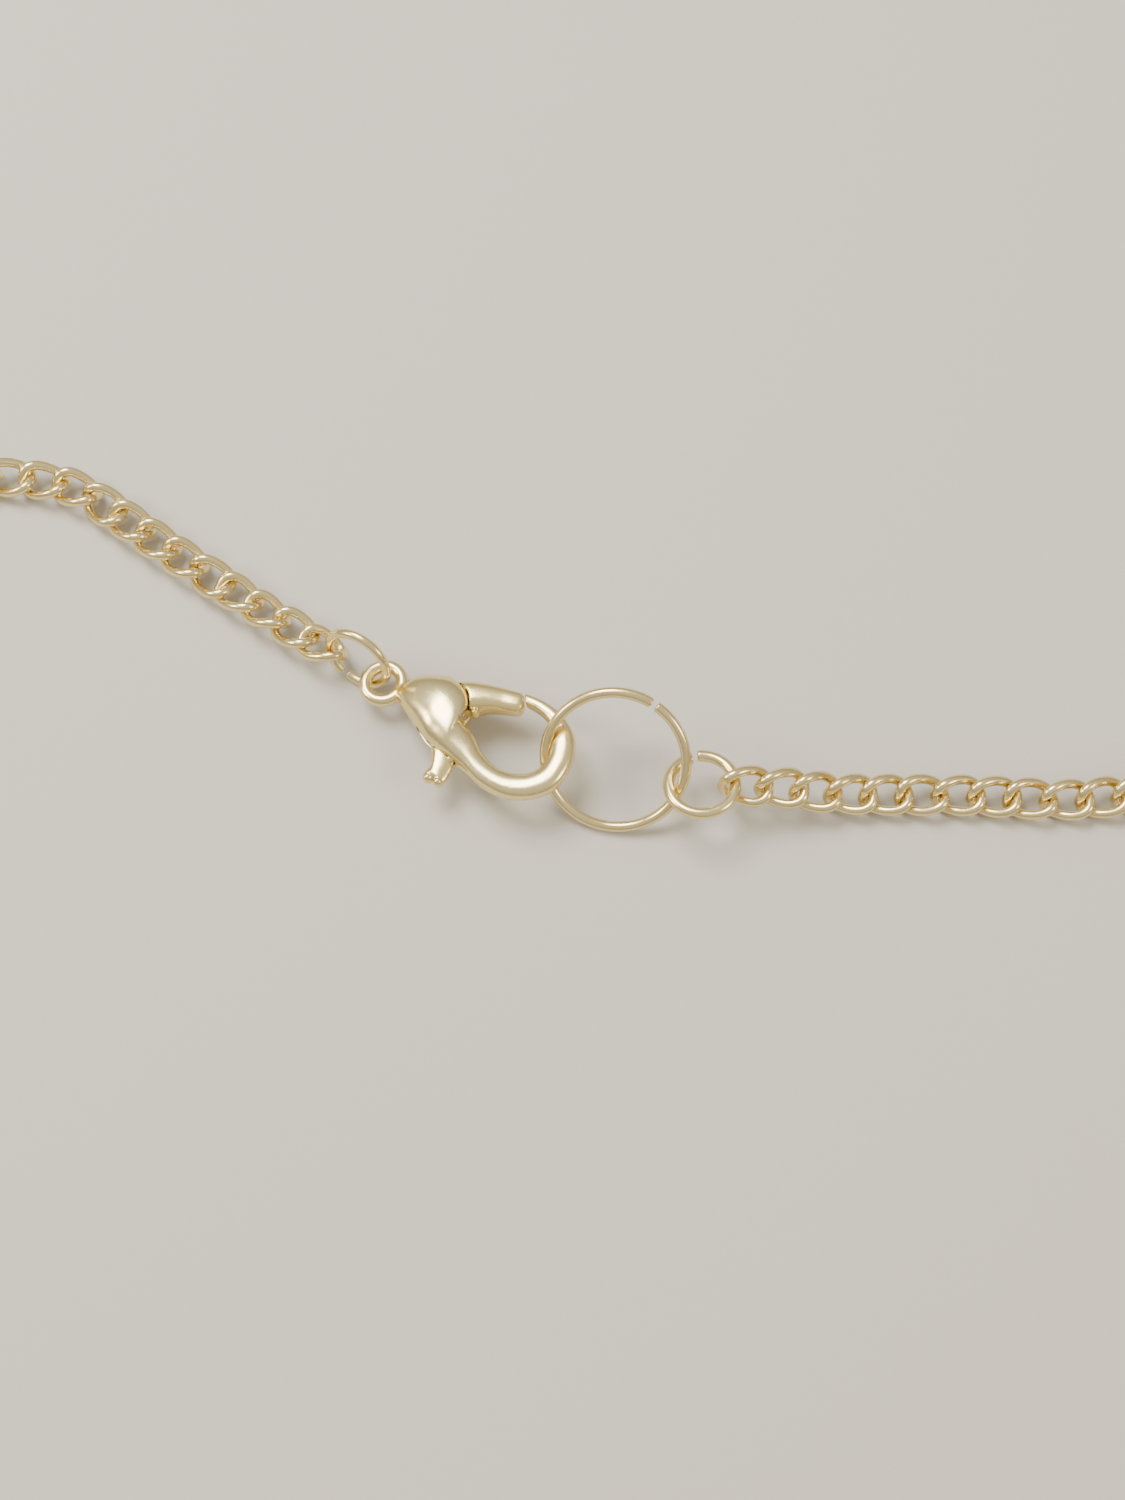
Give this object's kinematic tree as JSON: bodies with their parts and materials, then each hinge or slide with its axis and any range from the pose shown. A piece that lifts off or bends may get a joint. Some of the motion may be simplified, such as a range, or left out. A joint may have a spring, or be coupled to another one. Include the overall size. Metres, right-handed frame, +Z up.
{
  "type": "infinity necklace",
  "caption": "Silver-plated curb chain necklace lying closed, with a lobster clasp, jump rings and a flat figure-eight link at the front.",
  "frame": {"origin": "middle of the bottom of the necklace's box, on the surface that it lies on", "axes": "+Z up from the surface, +Y from the clasp across the loop to the figure-eight link, +X to the right seen from above with the clasp nearest"},
  "size_m": [0.1336, 0.1504, 0.0052],
  "materials": {
    "cast_silver": "polished cast silver plate, warm",
    "wire_silver": "bright drawn silver-plated wire, warm"
  },
  "bodies": {
    "necklace": {"clasp_body": "cast_silver", "ring_large": "wire_silver", "ring_small": "wire_silver", "ring_clasp": "wire_silver", "ring_front_left": "wire_silver", "ring_front_right": "wire_silver", "chain_left_links": "wire_silver", "chain_right_links": "wire_silver", "chain_left": "wire_silver", "chain_right": "wire_silver", "link_front_left": "wire_silver", "link_front_right": "wire_silver", "infinity_link": "cast_silver"},
    "lever": {"clasp_lever": "cast_silver"}
  },
  "joints": [
    {"name": "lever_turn", "type": "hinge", "parent": "necklace", "child": "lever", "pos_m": [-0.00601, -0.06874, 0.00177], "axis": [-0.11, 0.0635, 0.9919], "range_deg": [-22, 0], "stiffness_Nm_per_rad": 0.01, "springref_deg": 5.73}
  ]
}
